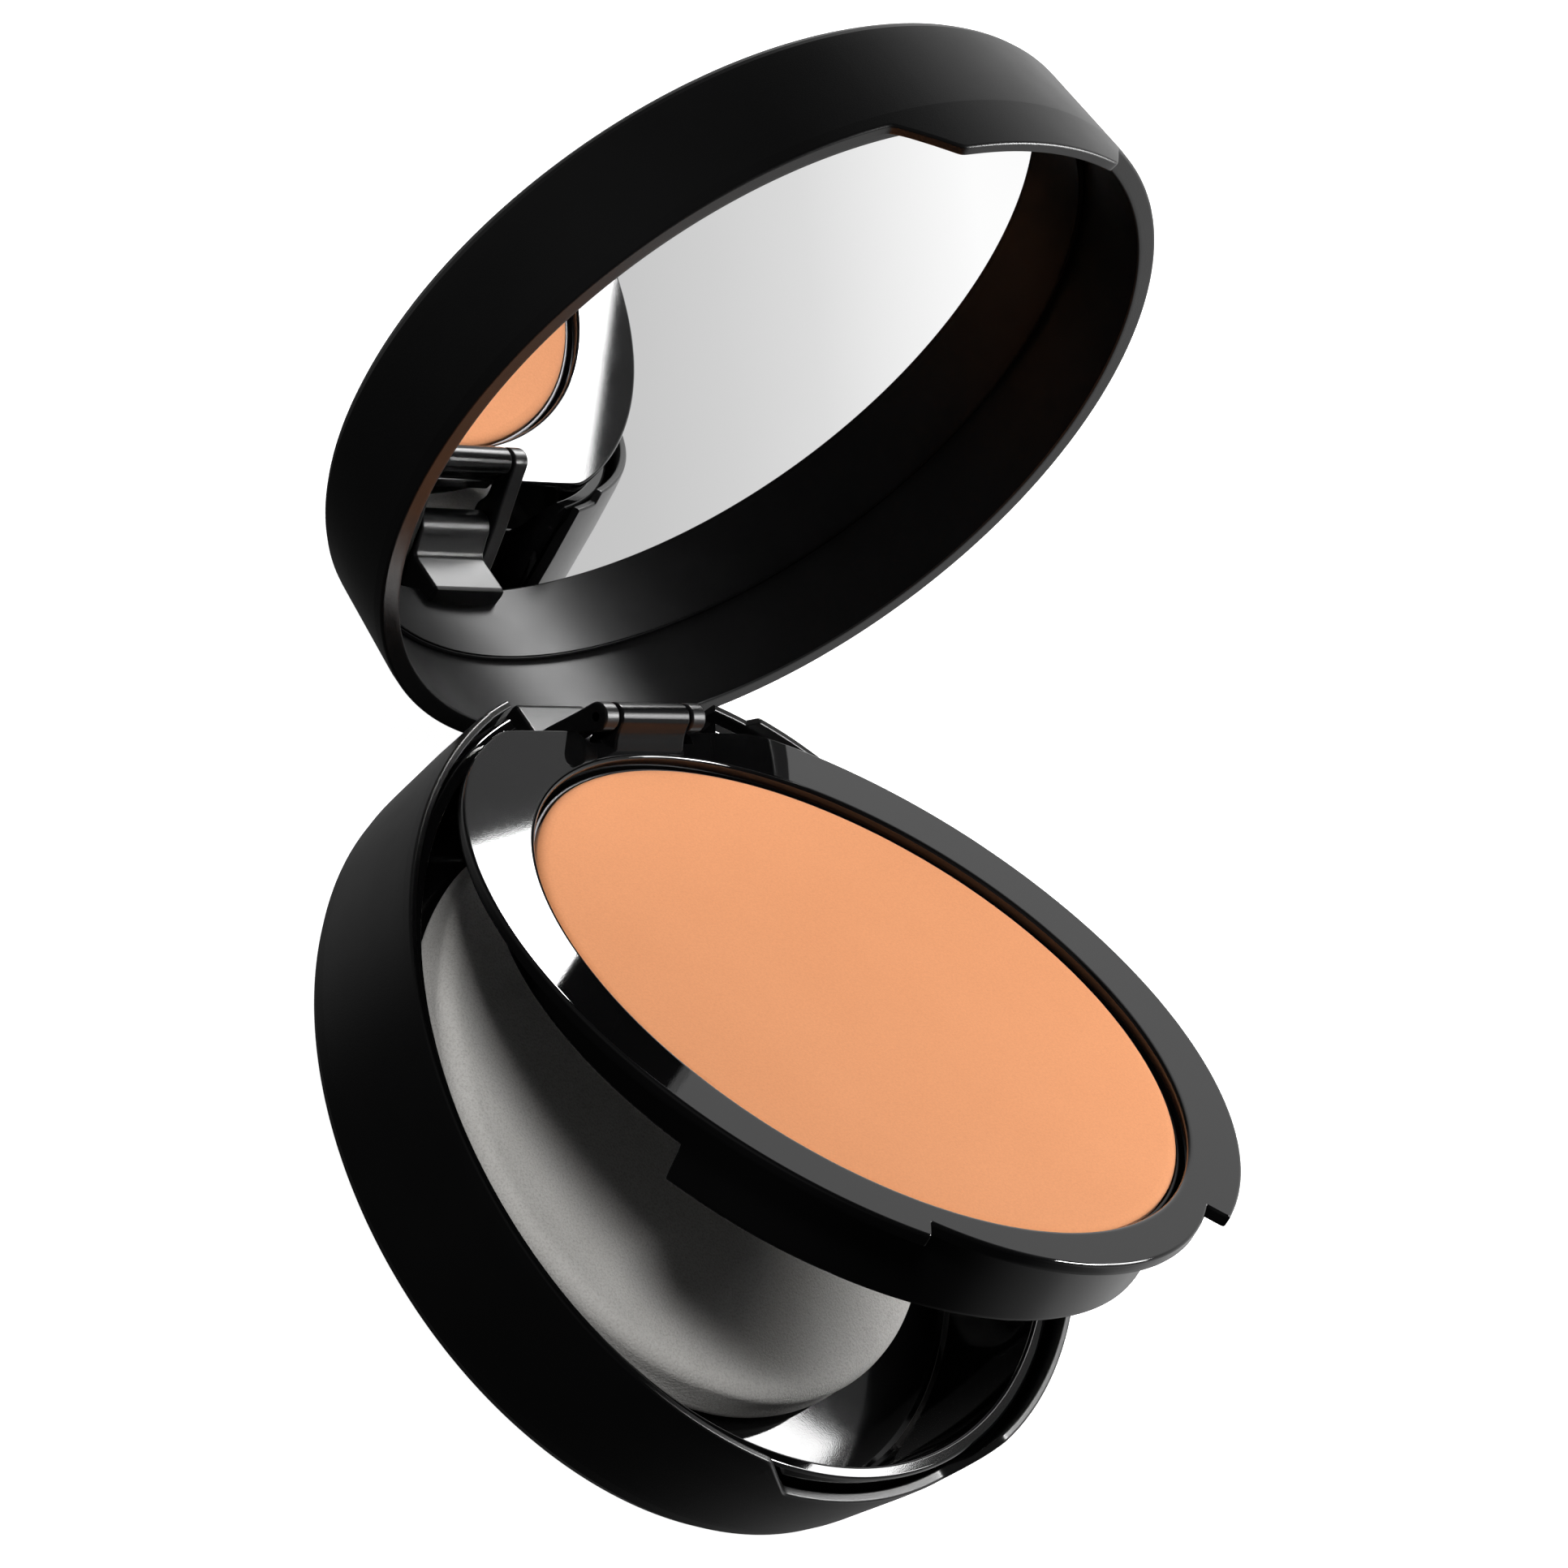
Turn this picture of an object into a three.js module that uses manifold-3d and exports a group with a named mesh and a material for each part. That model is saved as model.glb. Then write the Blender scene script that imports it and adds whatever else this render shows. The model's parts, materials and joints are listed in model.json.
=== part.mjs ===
// Round powder compact, standing open: base with a sponge well, hinged powder tray, hinged mirror lid.
// Millimetres, +Z up. Origin: centre of the underside. The thumb notch faces -Y, both hinges are at +Y.
import * as THREE from 'three';
import { mergeVertices } from 'three/addons/utils/BufferGeometryUtils.js';
import Module from 'manifold-3d';

const wasm = await Module();
wasm.setup();

// ---- driving dimensions -------------------------------------------------
const R_CASE = 38;            // outer radius of base and lid at their rims
const H_BASE = 16;            // height of the base rim
const T_WALL = 0.7;           // thin wall above the liner ring
const Z_RING = 14.4;          // top of the liner ring the tray rests on
const Z_LID = 16.3;           // lid rim when shut
const H_LID = 12.4;           // lid height at its edge
const D_MIRROR = 8.5;         // mirror face below the lid rim
const LID_PIN = [33.0, 11.4]; // lid pin, y and z
const TRAY_PIN = [32.7, 17.9];// tray pin, y and z
const R_PIN = 0.75;           // lid pin
const R_BORE = 0.85;          // lid pin bores
const R_TRAY_PIN = 0.6;       // tray pin
const R_TRAY_BORE = 0.7;      // tray pin bores
const R_KNUCKLE = 1.3;        // round of the ear tops and the tray knuckle
const LID_OPEN = 106.9;       // degrees open at rest
const TRAY_OPEN = 25.05;      // degrees up at rest
const Z_FLANGE = 15.9;        // tray flange top when shut
const T_FLANGE = 1.2;         // tray flange thickness
const R_FLANGE = 37.0;        // tray flange radius
const Y_WELL = -1.15;         // powder opening centre, forward of the case centre
const R_WELL = 31.0;          // powder opening radius
const R_CUP = 32.1;           // outside of the tray cup
const Z_CUP = 10.3;           // underside of the tray cup
const Z_SKIRT = 7.0;          // lower edge of the front skirt
const NOTCH = [10.15, 14.85];  // half widths of the base thumb notch, at its floor and at the rim
const Z_NOTCH = 12.0;         // floor of the thumb notch
const X_EAR = [4.6, 6.3];     // base ears
const X_KNUCKLE = 4.3;        // half width of the tray knuckle
const X_BLOCK = 4.3;          // half width of the lid hinge block
const R_SPONGE = 27.6;        // applicator sponge
const Z_SPONGE = [3.4, 8.7];
const SEG = 72;

// ---- helpers ------------------------------------------------------------
function solid(geometry) {
  let g = geometry.index ? geometry.toNonIndexed() : geometry.clone();
  g.deleteAttribute('normal');
  g.deleteAttribute('uv');
  g = mergeVertices(g, 1e-4);
  const p = g.attributes.position.array;
  const t = [];
  for (let i = 0; i < g.index.count; i += 3) {
    const a = g.index.getX(i), b = g.index.getX(i + 1), c = g.index.getX(i + 2);
    if (a !== b && b !== c && a !== c) t.push(a, b, c);
  }
  let v = 0;
  for (let i = 0; i < t.length; i += 3) {
    const [a, b, c] = [t[i] * 3, t[i + 1] * 3, t[i + 2] * 3];
    v += p[a] * (p[b + 1] * p[c + 2] - p[b + 2] * p[c + 1])
       - p[a + 1] * (p[b] * p[c + 2] - p[b + 2] * p[c])
       + p[a + 2] * (p[b] * p[c + 1] - p[b + 1] * p[c]);
  }
  if (v < 0) for (let i = 0; i < t.length; i += 3) [t[i], t[i + 1]] = [t[i + 1], t[i]];
  return new wasm.Manifold(new wasm.Mesh({
    numProp: 3, vertProperties: new Float32Array(p), triVerts: new Uint32Array(t),
  }));
}

function geometryOf(manifold) {
  const m = manifold.getMesh();
  const g = new THREE.BufferGeometry();
  g.setAttribute('position', new THREE.BufferAttribute(new Float32Array(m.vertProperties), 3));
  g.setIndex(new THREE.BufferAttribute(new Uint32Array(m.triVerts), 1));
  g.computeVertexNormals();
  return g;
}

// Revolved solid about Z through (0, cy). Profile of [radius, z], axis to axis or a closed loop.
function turned(profile, cy = 0, seg = SEG) {
  const first = profile[0], last = profile[profile.length - 1];
  const pts = profile.map(([r, z]) => new THREE.Vector2(r, z));
  if (first[0] !== 0 || last[0] !== 0) pts.push(new THREE.Vector2(first[0], first[1]));
  const g = new THREE.LatheGeometry(pts, seg);
  g.rotateX(Math.PI / 2);
  g.translate(0, cy, 0);
  return solid(g);
}

// Prism of a [y, z] outline from x0 to x1.
function across(outline, x0, x1) {
  const s = new THREE.Shape(outline.map(([y, z]) => new THREE.Vector2(y, z)));
  const g = new THREE.ExtrudeGeometry(s, { depth: x1 - x0, bevelEnabled: false, curveSegments: 1 });
  g.applyMatrix4(new THREE.Matrix4().makeBasis(
    new THREE.Vector3(0, 1, 0), new THREE.Vector3(0, 0, 1), new THREE.Vector3(1, 0, 0)));
  g.translate(x0, 0, 0);
  return solid(g);
}

// Plate of an [x, y] outline from z0 to z1.
function plate(outline, z0, z1) {
  const s = new THREE.Shape(outline.map(([x, y]) => new THREE.Vector2(x, y)));
  const g = new THREE.ExtrudeGeometry(s, { depth: z1 - z0, bevelEnabled: false, curveSegments: 1 });
  g.translate(0, 0, z0);
  return solid(g);
}

function box(x0, x1, y0, y1, z0, z1) {
  const g = new THREE.BoxGeometry(x1 - x0, y1 - y0, z1 - z0);
  g.translate((x0 + x1) / 2, (y0 + y1) / 2, (z0 + z1) / 2);
  return solid(g);
}

// Round bar along X at (y, z).
function bar(y, z, r, x0, x1, seg = 24) {
  const g = new THREE.CylinderGeometry(r, r, x1 - x0, seg);
  g.rotateZ(Math.PI / 2);
  g.translate((x0 + x1) / 2, y, z);
  return solid(g);
}

// Wedge of a ring between two azimuths (degrees), for cutting arcs.
function wedge(a0, a1, r0, r1, z0, z1, cy = 0) {
  const n = Math.max(2, Math.ceil((a1 - a0) / 5));
  const pts = [];
  const at = (r, a) => [r * Math.cos(a * Math.PI / 180), cy + r * Math.sin(a * Math.PI / 180)];
  for (let i = 0; i <= n; i++) pts.push(at(r1, a0 + (a1 - a0) * i / n));
  for (let i = n; i >= 0; i--) pts.push(at(r0, a0 + (a1 - a0) * i / n));
  return plate(pts, z0, z1);
}

const both = (make) => make(1).add(make(-1));
const span = ([a, b], s) => (s > 0 ? [a, b] : [-b, -a]);

function piece(parent, name, body, color, roughness, metalness, extra = {}) {
  const mesh = new THREE.Mesh(geometryOf(body),
    new THREE.MeshStandardMaterial({ color, roughness, metalness, ...extra }));
  mesh.name = name;
  parent.add(mesh);
  return mesh;
}

// A group turned about a pin that lies along X.
function hinged(parent, [y, z], degrees) {
  const turn = new THREE.Group();
  turn.position.set(0, y, z);
  turn.rotation.x = -degrees * Math.PI / 180;
  const inner = new THREE.Group();
  inner.position.set(0, -y, -z);
  turn.add(inner);
  parent.add(turn);
  return inner;
}

const compact = new THREE.Group();
const base = new THREE.Group();
compact.add(base);
const tray = hinged(compact, TRAY_PIN, TRAY_OPEN);
const lid = hinged(compact, LID_PIN, LID_OPEN);

// ---- base ---------------------------------------------------------------
const LABEL_R = 22;
let shell = turned([
  [0, 0.55], [LABEL_R + 0.3, 0.55], [LABEL_R + 0.3, 0], [34.0, 0], [35.0, 0.25], [35.8, 0.8], [36.35, 1.7],
  [36.7, 3.2], [37.55, 10], [R_CASE, 14.6], [R_CASE, H_BASE - 0.25], [R_CASE - 0.2, H_BASE],
  [R_CASE - T_WALL + 0.1, H_BASE], [R_CASE - T_WALL, H_BASE - 0.15], [R_CASE - T_WALL, 14.0], [36.98, 13.6], [36.6, 10],
  [35.75, 3.0], [35.3, 2.1], [34.6, 1.8], [0, 1.8],
]);
// thumb notch, rear notch for the hinge, and relief beside it for the swinging lid rim
// front-facing prism from an [x, z] outline
const facing = (outline) => across(outline, -42, -30).rotate([0, 0, 90]);
const flare = (NOTCH[1] - NOTCH[0]) / (H_BASE - Z_NOTCH);
const wide = NOTCH[0] + flare * (18 - Z_NOTCH);
shell = shell.subtract(facing([[-NOTCH[0], Z_NOTCH], [NOTCH[0], Z_NOTCH], [wide, 18], [-wide, 18]]));
shell = shell.subtract(box(-12.8, 12.8, 29, 40, 3.4, 18));
shell = shell.subtract(box(-16.8, 16.8, 29, 40, 14.95, 18));
// ears that carry both pins
const arch = [0, 1, 2, 3, 4, 5, 6].map((i) => [TRAY_PIN[0] + R_KNUCKLE * Math.cos(i * Math.PI / 6), TRAY_PIN[1] + R_KNUCKLE * Math.sin(i * Math.PI / 6)]);
const ear = (s) => across([
  [31.4, 1.2], [34.6, 1.2], [34.6, 9.2], [34.5, 12.2], [34.1, 16.2], ...arch, [31.7, 16.9], [32.2, 15.9], [32.2, 14.2], [31.4, 13.2], [31.4, 11.0],
], ...span(X_EAR, s));
shell = shell.add(both(ear));
for (const s of [1, -1]) {
  const [a, b] = span([X_EAR[0] - 1, X_EAR[1] + 1], s);
  shell = shell.subtract(bar(...LID_PIN, R_BORE, a, b)).subtract(bar(...TRAY_PIN, R_TRAY_BORE, a, b));
}
piece(base, 'base_shell', shell, 0x131314, 0.42, 0.0);

let liner = turned([
  [0, 2.1], [34.3, 2.1], [34.95, 2.5], [35.25, 3.2], [36.05, 10], [36.55, 13.4], [36.65, Z_RING - 0.2],
  [36.5, Z_RING], [35.65, Z_RING], [35.4, Z_RING - 0.2], [35.25, 12.6], [34.9, 10], [34.15, 3.9], [33.6, 3.1], [0, 3.1],
]);
liner = liner.subtract(box(-13.1, 13.1, 29.9, 40, 1, 18));
// wall that closes the hinge pocket off from the sponge well
const pocket = box(-13.7, 13.7, 29.2, 29.9, 2.6, 9.6)
  .add(box(13.1, 13.7, 29.3, 32.2, 2.6, 9.6)).add(box(-13.7, -13.1, 29.3, 32.2, 2.6, 9.6));
liner = liner.add(pocket);
piece(base, 'base_liner', liner, 0x111112, 0.28, 0.0);

piece(base, 'base_label', turned([[0, 0], [LABEL_R, 0], [LABEL_R, 0.25], [0, 0.25]], 0, 48), 0xd8d8d6, 0.7, 0.0);
piece(base, 'lid_hinge_pin', bar(...LID_PIN, R_PIN, -X_EAR[1], X_EAR[1]), 0xb0b0b2, 0.25, 1.0);
piece(base, 'tray_hinge_pin', bar(...TRAY_PIN, R_TRAY_PIN, -X_EAR[1], X_EAR[1]), 0xb0b0b2, 0.25, 1.0);

piece(base, 'applicator_sponge', turned([
  [0, Z_SPONGE[0]], [R_SPONGE - 0.9, Z_SPONGE[0]], [R_SPONGE - 0.25, Z_SPONGE[0] + 0.5], [R_SPONGE, Z_SPONGE[0] + 1.6],
  [R_SPONGE, Z_SPONGE[1] - 1.4], [R_SPONGE - 0.3, Z_SPONGE[1] - 0.45], [R_SPONGE - 1.2, Z_SPONGE[1]], [0, Z_SPONGE[1]],
], 0.8, 60), 0xb5b3af, 0.95, 0.0);

// ---- tray (drawn shut, turned up by its group) --------------------------
const ZF0 = Z_FLANGE - T_FLANGE;
let frame = turned([
  [0, ZF0], [R_FLANGE - 0.2, ZF0], [R_FLANGE, ZF0 + 0.2], [R_FLANGE, Z_FLANGE - 0.35], [R_FLANGE - 0.35, Z_FLANGE], [0, Z_FLANGE],
]);
// front finger notch: the flange steps in and leaves a rounded tongue
const tongue = turned([[0, ZF0 - 1], [27.9, ZF0 - 1], [27.9, Z_FLANGE + 1], [0, Z_FLANGE + 1]], -8.5);
frame = frame.subtract(wedge(239, 301, 31, 41, ZF0 - 0.5, Z_FLANGE + 0.5).subtract(tongue));
// straight rear edge
frame = frame.subtract(plate([
  [-13, 33.4], [13, 33.4], [15.2, 33.1], [17.6, 32.3], [19, 41], [-19, 41], [-17.6, 32.3], [-15.2, 33.1],
], ZF0 - 1, Z_FLANGE + 1));
frame = frame.add(turned([[0, Z_CUP], [R_CUP - 0.4, Z_CUP], [R_CUP, Z_CUP + 0.4], [R_CUP, ZF0 + 0.4], [0, ZF0 + 0.4]], Y_WELL));
const skirt = wedge(203, 337, R_CUP - 1.1, R_CUP, Z_SKIRT, Z_CUP + 0.6, Y_WELL);
frame = frame.add(skirt);
frame = frame.subtract(turned([
  [0, Z_CUP + 1], [R_WELL - 0.2, Z_CUP + 1], [R_WELL, Z_CUP + 1.2], [R_WELL, Z_FLANGE - 0.35], [R_WELL + 0.35, Z_FLANGE], [R_WELL + 0.35, Z_FLANGE + 2], [0, Z_FLANGE + 2],
], Y_WELL));
// push-out hole under the pan
frame = frame.subtract(turned([[0, Z_CUP - 1], [2.5, Z_CUP - 1], [2.5, Z_CUP + 2], [0, Z_CUP + 2]], Y_WELL, 24));
// slots for the base ears, and the knuckle between them
for (const s of [1, -1]) {
  const [a, b] = span([X_EAR[0] - 0.3, X_EAR[1] + 0.3], s);
  frame = frame.subtract(box(a, b, 31.8, 40, 9, 18));
}
frame = frame.add(across([
  [30.4, Z_FLANGE - 0.3], [33.3, Z_FLANGE - 0.3], [33.75, 16.9], ...arch, [31.2, 17.0],
], -X_KNUCKLE, X_KNUCKLE)).subtract(bar(...TRAY_PIN, R_TRAY_BORE, -X_KNUCKLE - 0.1, X_KNUCKLE + 0.1));
piece(tray, 'tray_frame', frame, 0x0c0c0d, 0.12, 0.0);

piece(tray, 'pan_adhesive', turned([
  [5, Z_CUP + 1.15], [28, Z_CUP + 1.15], [28, Z_CUP + 1.45], [5, Z_CUP + 1.45],
], Y_WELL, 48), 0xd9d4c6, 0.8, 0.0);
piece(tray, 'powder_pan', turned([
  [0, Z_CUP + 1.6], [R_WELL - 0.5, Z_CUP + 1.6], [R_WELL - 0.2, Z_CUP + 1.9], [R_WELL - 0.2, 14.7], [R_WELL - 0.5, 14.7],
  [R_WELL - 0.5, Z_CUP + 2.1], [R_WELL - 0.7, Z_CUP + 1.9], [0, Z_CUP + 1.9],
], Y_WELL), 0xa9abad, 0.35, 1.0);
piece(tray, 'powder_cake', turned([
  [0, Z_CUP + 2.05], [R_WELL - 0.95, Z_CUP + 2.05], [R_WELL - 0.65, Z_CUP + 2.35], [R_WELL - 0.65, 14.84], [R_WELL - 1.1, 15.21], [0, 15.25],
], Y_WELL), 0xe9aa78, 0.95, 0.0);

// ---- lid (drawn shut, turned open by its group) -------------------------
const ZT = Z_LID + H_LID;
const ZM = Z_LID + D_MIRROR;
let cap = turned([
  [36.4, Z_LID], [R_CASE - 0.2, Z_LID], [R_CASE, Z_LID + 0.25], [R_CASE, Z_LID + 1.2], [37.35, ZT - 2.0], [37.1, ZT - 1.1],
  [36.5, ZT - 0.4], [35.5, ZT], [28, ZT + 0.25], [0, ZT + 0.4], [0, ZM + 1.8], [36.1, ZM + 1.8], [36.2, ZM + 1.6], [36.2, Z_LID + 0.2],
]);
// thumb lip that fills the notch of the base
const zLip = Z_NOTCH + 0.35;
const lip = wedge(235, 305, R_CASE - 1.0, R_CASE - 0.02, zLip, Z_LID + 0.8).intersect(facing([
  [-NOTCH[0] + 0.45, zLip], [NOTCH[0] - 0.45, zLip], [NOTCH[1] - 0.45, Z_LID + 0.05], [NOTCH[1] - 0.45, Z_LID + 2], [-NOTCH[1] + 0.45, Z_LID + 2], [-NOTCH[1] + 0.45, Z_LID + 0.05],
]));
cap = cap.add(lip);
// hinge block behind the rim
const block = across([
  [34.4, 18.0], [37.3, 18.0], [37.3, 13.4], [36.7, 11.6], [35.4, 10.3], [33.6, 9.85], [32.4, 9.9], [31.62, 10.6], [31.4, 11.4],
  [31.87, 12.53], [33.0, 13.0], [34.4, 13.8],
], -X_BLOCK, X_BLOCK);
cap = cap.add(block).subtract(bar(...LID_PIN, R_BORE, -X_BLOCK - 1, X_BLOCK + 1));
piece(lid, 'lid_shell', cap, 0x131314, 0.4, 0.0);

piece(lid, 'lid_liner', turned([
  [35.75, ZM + 0.06], [36.1, ZM + 0.06], [36.1, ZM + 1.65], [34.0, ZM + 1.65], [34.0, ZM + 1.25], [35.75, ZM + 1.25],
]), 0x0e0e0f, 0.3, 0.0);
piece(lid, 'mirror_glass', turned([[0, ZM + 0.05], [35.55, ZM + 0.05], [35.65, ZM + 0.2], [35.65, ZM + 1.1], [0, ZM + 1.1]]), 0xe9ecee, 0.02, 1.0);
piece(lid, 'mirror_pad', turned([[0, ZM + 1.25], [32, ZM + 1.25], [32, ZM + 1.6], [0, ZM + 1.6]], 0, 48), 0xe6e3da, 0.9, 0.0);

export default compact;
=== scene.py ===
import bpy, json, math
import numpy as np
from mathutils import Matrix, Vector


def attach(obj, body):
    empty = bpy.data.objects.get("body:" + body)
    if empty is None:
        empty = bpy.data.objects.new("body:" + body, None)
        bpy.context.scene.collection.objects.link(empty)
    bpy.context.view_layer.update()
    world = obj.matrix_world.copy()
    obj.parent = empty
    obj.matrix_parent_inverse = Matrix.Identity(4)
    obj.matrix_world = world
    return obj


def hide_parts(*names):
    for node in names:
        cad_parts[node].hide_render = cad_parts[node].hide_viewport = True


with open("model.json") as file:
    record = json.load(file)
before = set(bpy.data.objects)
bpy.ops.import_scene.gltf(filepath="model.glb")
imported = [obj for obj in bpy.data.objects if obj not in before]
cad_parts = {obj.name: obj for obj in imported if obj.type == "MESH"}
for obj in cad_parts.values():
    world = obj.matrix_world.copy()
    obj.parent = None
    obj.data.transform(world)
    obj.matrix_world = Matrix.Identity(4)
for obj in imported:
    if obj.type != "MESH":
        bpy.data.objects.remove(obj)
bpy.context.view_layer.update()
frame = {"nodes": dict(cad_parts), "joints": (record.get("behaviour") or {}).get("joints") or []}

scene = bpy.context.scene
MM = 0.001

# ------------------------------------------------------------------ sizes (mm)
# The same driving sizes as the CAD model; the closed pose is drawn, then turned about the pins.
R_CASE, H_BASE, T_WALL, Z_RING = 38.0, 16.0, 0.7, 14.4
Z_LID, H_LID, D_MIRROR = 16.3, 12.4, 8.5
JOINTS = {j["name"]: j for j in frame["joints"]}
LID_PIN = tuple(1000 * v for v in JOINTS["lid_hinge"]["pos_m"][1:])
TRAY_PIN = tuple(1000 * v for v in JOINTS["tray_hinge"]["pos_m"][1:])
LID_OPEN = -JOINTS["lid_hinge"]["range_deg"][0]
TRAY_OPEN = -JOINTS["tray_hinge"]["range_deg"][0]
Z_FLANGE, T_FLANGE, R_FLANGE, Y_WELL = 15.9, 1.2, 37.0, -1.15
R_WELL, R_CUP, Z_CUP, Z_SKIRT = 31.0, 32.1, 10.3, 7.0
NOTCH, Z_NOTCH = (10.15, 14.85), 12.0
X_EAR, X_KNUCKLE, X_BLOCK, R_KNUCKLE = (4.6, 6.3), 4.3, 4.3, 1.3
R_SPONGE, Z_SPONGE, Y_SPONGE = 27.6, (3.4, 8.7), 0.8

# ------------------------------------------------------------------ mesh helpers


def opened(co, pin, deg):
    """Turns closed-pose points about a pin along X to the resting pose."""
    y, z = co[:, 1] - pin[0], co[:, 2] - pin[1]
    c, s = math.cos(math.radians(deg)), math.sin(math.radians(deg))
    out = co.copy()
    out[:, 1] = pin[0] + y * c + z * s
    out[:, 2] = pin[1] - y * s + z * c
    return out


POSE = {"base": lambda co: co,
        "tray": lambda co: opened(co, TRAY_PIN, TRAY_OPEN),
        "lid": lambda co: opened(co, LID_PIN, LID_OPEN)}


def make(name, co, faces, body, mat, nodes=(), slot=None, sharp=38, flip_check=True):
    co = np.asarray(co, float)
    if flip_check:
        v = 0.0
        for f in faces:
            a = co[f[0]]
            for i in range(1, len(f) - 1):
                v += float(np.dot(a, np.cross(co[f[i]], co[f[i + 1]])))
        if v < 0:
            faces = [tuple(reversed(f)) for f in faces]
    me = bpy.data.meshes.new(name)
    me.from_pydata((POSE[body](co) * MM).tolist(), [], faces)
    me.update()
    me.shade_smooth()
    me.set_sharp_from_angle(angle=math.radians(sharp))
    ob = bpy.data.objects.new(name, me)
    scene.collection.objects.link(ob)
    me.materials.append(mat)
    if nodes:
        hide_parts(*nodes)
    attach(ob, body)
    return ob


def grid_solid(rings, closed_profile):
    """rings: list over azimuth of (n, 3) arrays; wraps in azimuth. Profiles either close on themselves
    or start and end on the axis."""
    m, n = len(rings), len(rings[0])
    if closed_profile:
        co = np.concatenate(rings)
        faces = []
        for i in range(m):
            j = (i + 1) % m
            for k in range(n):
                l = (k + 1) % n
                faces.append((i * n + k, j * n + k, j * n + l, i * n + l))
        return co, faces
    inner = np.concatenate([r[1:-1] for r in rings])
    co = np.concatenate([inner, rings[0][:1], rings[0][-1:]])
    q = n - 2
    a, b = m * q, m * q + 1
    faces = []
    for i in range(m):
        j = (i + 1) % m
        faces.append((a, j * q, i * q))
        for k in range(q - 1):
            faces.append((i * q + k, j * q + k, j * q + k + 1, i * q + k + 1))
        faces.append((b, i * q + q - 1, j * q + q - 1))
    return co, faces


def held(profs, d=0.025):
    """Adds points beside the turned ends of long straight stretches, so flat faces shade flat."""
    P = np.array(profs)
    seg = np.diff(P, axis=1)
    L = np.linalg.norm(seg, axis=2)
    ang = np.arctan2(seg[:, :, 1], seg[:, :, 0])
    turn = np.abs((np.diff(ang, axis=1) + np.pi) % (2 * np.pi) - np.pi)
    turn[(L[:, 1:] < 1e-6) | (L[:, :-1] < 1e-6)] = 0
    turn = turn.max(0)
    long = L.max(0) > 0.3
    cols = [P[:, 0]]
    for k in range(L.shape[1]):
        f = np.minimum(d / np.maximum(L[:, k], 1e-9), 0.3)[:, None]
        if long[k] and k > 0 and turn[k - 1] > 0.05:
            cols.append(P[:, k] + seg[:, k] * f)
        if long[k] and k < L.shape[1] - 1 and turn[k] > 0.05:
            cols.append(P[:, k + 1] - seg[:, k] * f)
        cols.append(P[:, k + 1])
    return np.stack(cols, 1)


def revolve(prof, phis, cy=0.0, closed=False):
    profs = [np.asarray(prof(p), float) for p in phis]
    if not closed:
        profs = held(profs)
    rings = []
    for p, rz in zip(phis, profs):
        a = math.radians(p)
        rings.append(np.stack([rz[:, 0] * math.cos(a), cy + rz[:, 0] * math.sin(a), rz[:, 1]], 1))
    return grid_solid(rings, closed)


def azimuths(n, *steps, width=1.6, fine=12):
    """Even azimuths with extra ones around each step."""
    base = [i * 360.0 / n for i in range(n)]
    out = []
    for s in steps:
        out += [s + width * (i / fine - 0.5) for i in range(fine + 1)]
    keep = [b for b in base if all(abs((b - s + 180) % 360 - 180) > width * 0.5 + 180.0 / n * 0.6 for s in steps)]
    return sorted({round(a % 360, 5) for a in keep + out})


def gate(p, a, b, w=0.9):
    """1 inside azimuths a..b, 0 outside, with short smooth ends."""
    mid, half = (a + b) / 2, (b - a) / 2
    d = abs((p - mid + 180) % 360 - 180) - half
    t = min(1.0, max(0.0, 0.5 - d / w))
    return t * t * (3 - 2 * t)


def arc(cx, cz, r, a0, a1, n):
    return [(cx + r * math.cos(math.radians(a0 + (a1 - a0) * i / n)), cz + r * math.sin(math.radians(a0 + (a1 - a0) * i / n))) for i in range(n + 1)]


def line(a, b, n):
    return [(a[0] + (b[0] - a[0]) * i / n, a[1] + (b[1] - a[1]) * i / n) for i in range(1, n)]


def rounded(poly, r, n=5):
    """Rounds the corners of a closed 2-D outline."""
    out = []
    m = len(poly)
    for i in range(m):
        p0, p, p1 = (np.array(poly[(i + k) % m], float) for k in (-1, 0, 1))
        u, v = p0 - p, p1 - p
        lu, lv = np.linalg.norm(u), np.linalg.norm(v)
        u, v = u / lu, v / lv
        rr = min(r, lu * 0.45, lv * 0.45)
        a, b = p + u * rr, p + v * rr
        for k in range(n + 1):
            t = k / n
            out.append(tuple((1 - t) ** 2 * a + 2 * t * (1 - t) * p + t * t * b))
    return out


def slab(outline, x0, x1, r=0.25, n=3):
    """A [y, z] outline extruded along X with rounded side edges."""
    pts = np.array(outline, float)
    c = pts.mean(0)
    m = len(pts)
    t0 = np.roll(pts, -1, 0) - np.roll(pts, 1, 0)
    nrm = np.stack([t0[:, 1], -t0[:, 0]], 1)
    nrm /= np.linalg.norm(nrm, axis=1)[:, None] + 1e-9
    if ((pts - c) * nrm).sum() < 0:
        nrm = -nrm
    rows = []
    for k in range(n + 1):
        a = math.pi / 2 * k / n
        rows.append((x0 + r * (1 - math.sin(a)), r * (1 - math.cos(a))))
    rows = [(x0 + r * (1 - math.cos(math.pi / 2 * k / n)), r * (1 - math.sin(math.pi / 2 * k / n))) for k in range(n + 1)]
    rows = rows + [(x0 + r + 0.02, 0.0)]
    rows += [(x1 - (x - x0), i) for x, i in reversed(rows)]
    co, faces = [], []
    for x, inset in rows:
        q = pts - nrm * inset
        co += [(x, y, z) for y, z in q]
    for i in range(len(rows) - 1):
        for k in range(m):
            l = (k + 1) % m
            faces.append((i * m + k, i * m + l, (i + 1) * m + l, (i + 1) * m + k))
    faces.append(tuple(range(m)))
    faces.append(tuple(reversed(range((len(rows) - 1) * m, len(rows) * m))))
    return np.array(co), faces


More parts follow.
